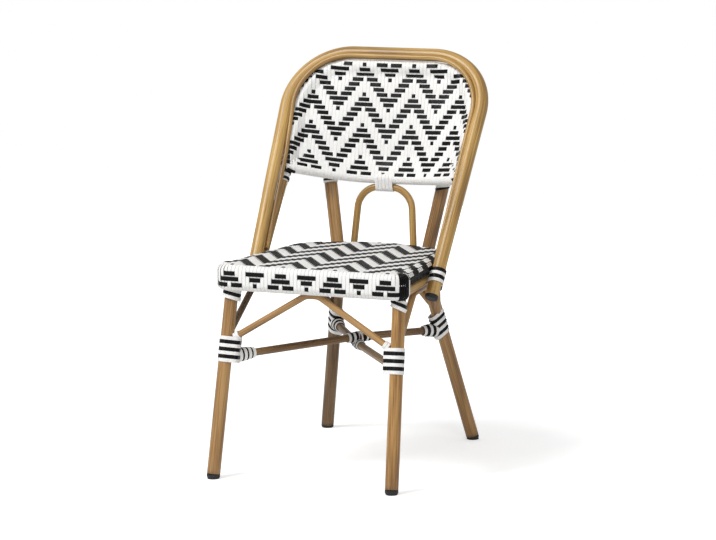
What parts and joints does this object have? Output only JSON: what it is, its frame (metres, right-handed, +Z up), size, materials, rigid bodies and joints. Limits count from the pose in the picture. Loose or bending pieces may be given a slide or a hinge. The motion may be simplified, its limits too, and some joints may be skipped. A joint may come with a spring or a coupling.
{
  "type": "rattan bistro chair",
  "caption": "Bistro side chair: bent bamboo-effect tube frame with a leaning hoop, a chevron-woven white and black strand seat and back, and strand-bound joints.",
  "frame": {"origin": "on the floor, midway between the four feet, left to right and front to back", "axes": "+Z up, the chair faces -Y, +X is to the right of someone looking at its front"},
  "size_m": [0.478, 0.5933, 0.8652],
  "materials": {
    "bamboo_tube": "tan bamboo-effect paint, satin, with faint lengthwise streaks",
    "white_strand": "white flat strand, satin to glossy, finely ribbed lengthwise",
    "black_strand": "black flat strand, glossy, finely ribbed lengthwise",
    "glide_plastic": "dark grey moulded plastic, matte",
    "cap_plastic": "dark grey moulded plastic, matte"
  },
  "bodies": {
    "root": {"back_arch": "bamboo_tube", "back_hoop": "bamboo_tube", "back_panel_bottom_rail": "bamboo_tube", "back_panel_frame": "bamboo_tube", "back_panel_weave": "white_strand", "cross_stretcher_lower": "bamboo_tube", "cross_stretcher_upper": "bamboo_tube", "front_arch_brace": "bamboo_tube", "front_glide_left": "glide_plastic", "front_glide_right": "glide_plastic", "front_leg_left": "bamboo_tube", "front_leg_left_binding_black": "black_strand", "front_leg_left_binding_white": "white_strand", "front_leg_left_stretcher_binding_black": "black_strand", "front_leg_left_stretcher_binding_white": "white_strand", "front_leg_right": "bamboo_tube", "front_leg_right_binding_black": "black_strand", "front_leg_right_binding_white": "white_strand", "front_leg_right_stretcher_binding_black": "black_strand", "front_leg_right_stretcher_binding_white": "white_strand", "front_leg_top_left_binding_black": "black_strand", "front_leg_top_left_binding_white": "white_strand", "front_leg_top_right_binding_black": "black_strand", "front_leg_top_right_binding_white": "white_strand", "hoop_cap_left": "cap_plastic", "hoop_cap_right": "cap_plastic", "hoop_end_left_binding_black": "black_strand", "hoop_end_left_binding_white": "white_strand", "hoop_end_right_binding_black": "black_strand", "hoop_end_right_binding_white": "white_strand", "hoop_inner_rod": "bamboo_tube", "panel_frame_cap_left": "cap_plastic", "panel_frame_cap_right": "cap_plastic", "rear_arch_brace": "bamboo_tube", "rear_glide_left": "glide_plastic", "rear_glide_right": "glide_plastic", "rear_leg_left": "bamboo_tube", "rear_leg_left_binding_black": "black_strand", "rear_leg_left_binding_white": "white_strand", "rear_leg_left_stretcher_binding_black": "black_strand", "rear_leg_left_stretcher_binding_white": "white_strand", "rear_leg_right": "bamboo_tube", "rear_leg_right_binding_black": "black_strand", "rear_leg_right_binding_white": "white_strand", "rear_leg_right_stretcher_binding_black": "black_strand", "rear_leg_right_stretcher_binding_white": "white_strand", "seat_lower_ring": "bamboo_tube", "seat_upper_ring": "bamboo_tube", "seat_weave": "white_strand", "side_arch_brace_left": "bamboo_tube", "side_arch_brace_right": "bamboo_tube", "stretcher_crossing_binding_black": "black_strand", "stretcher_crossing_binding_white": "white_strand"}
  },
  "joints": []
}
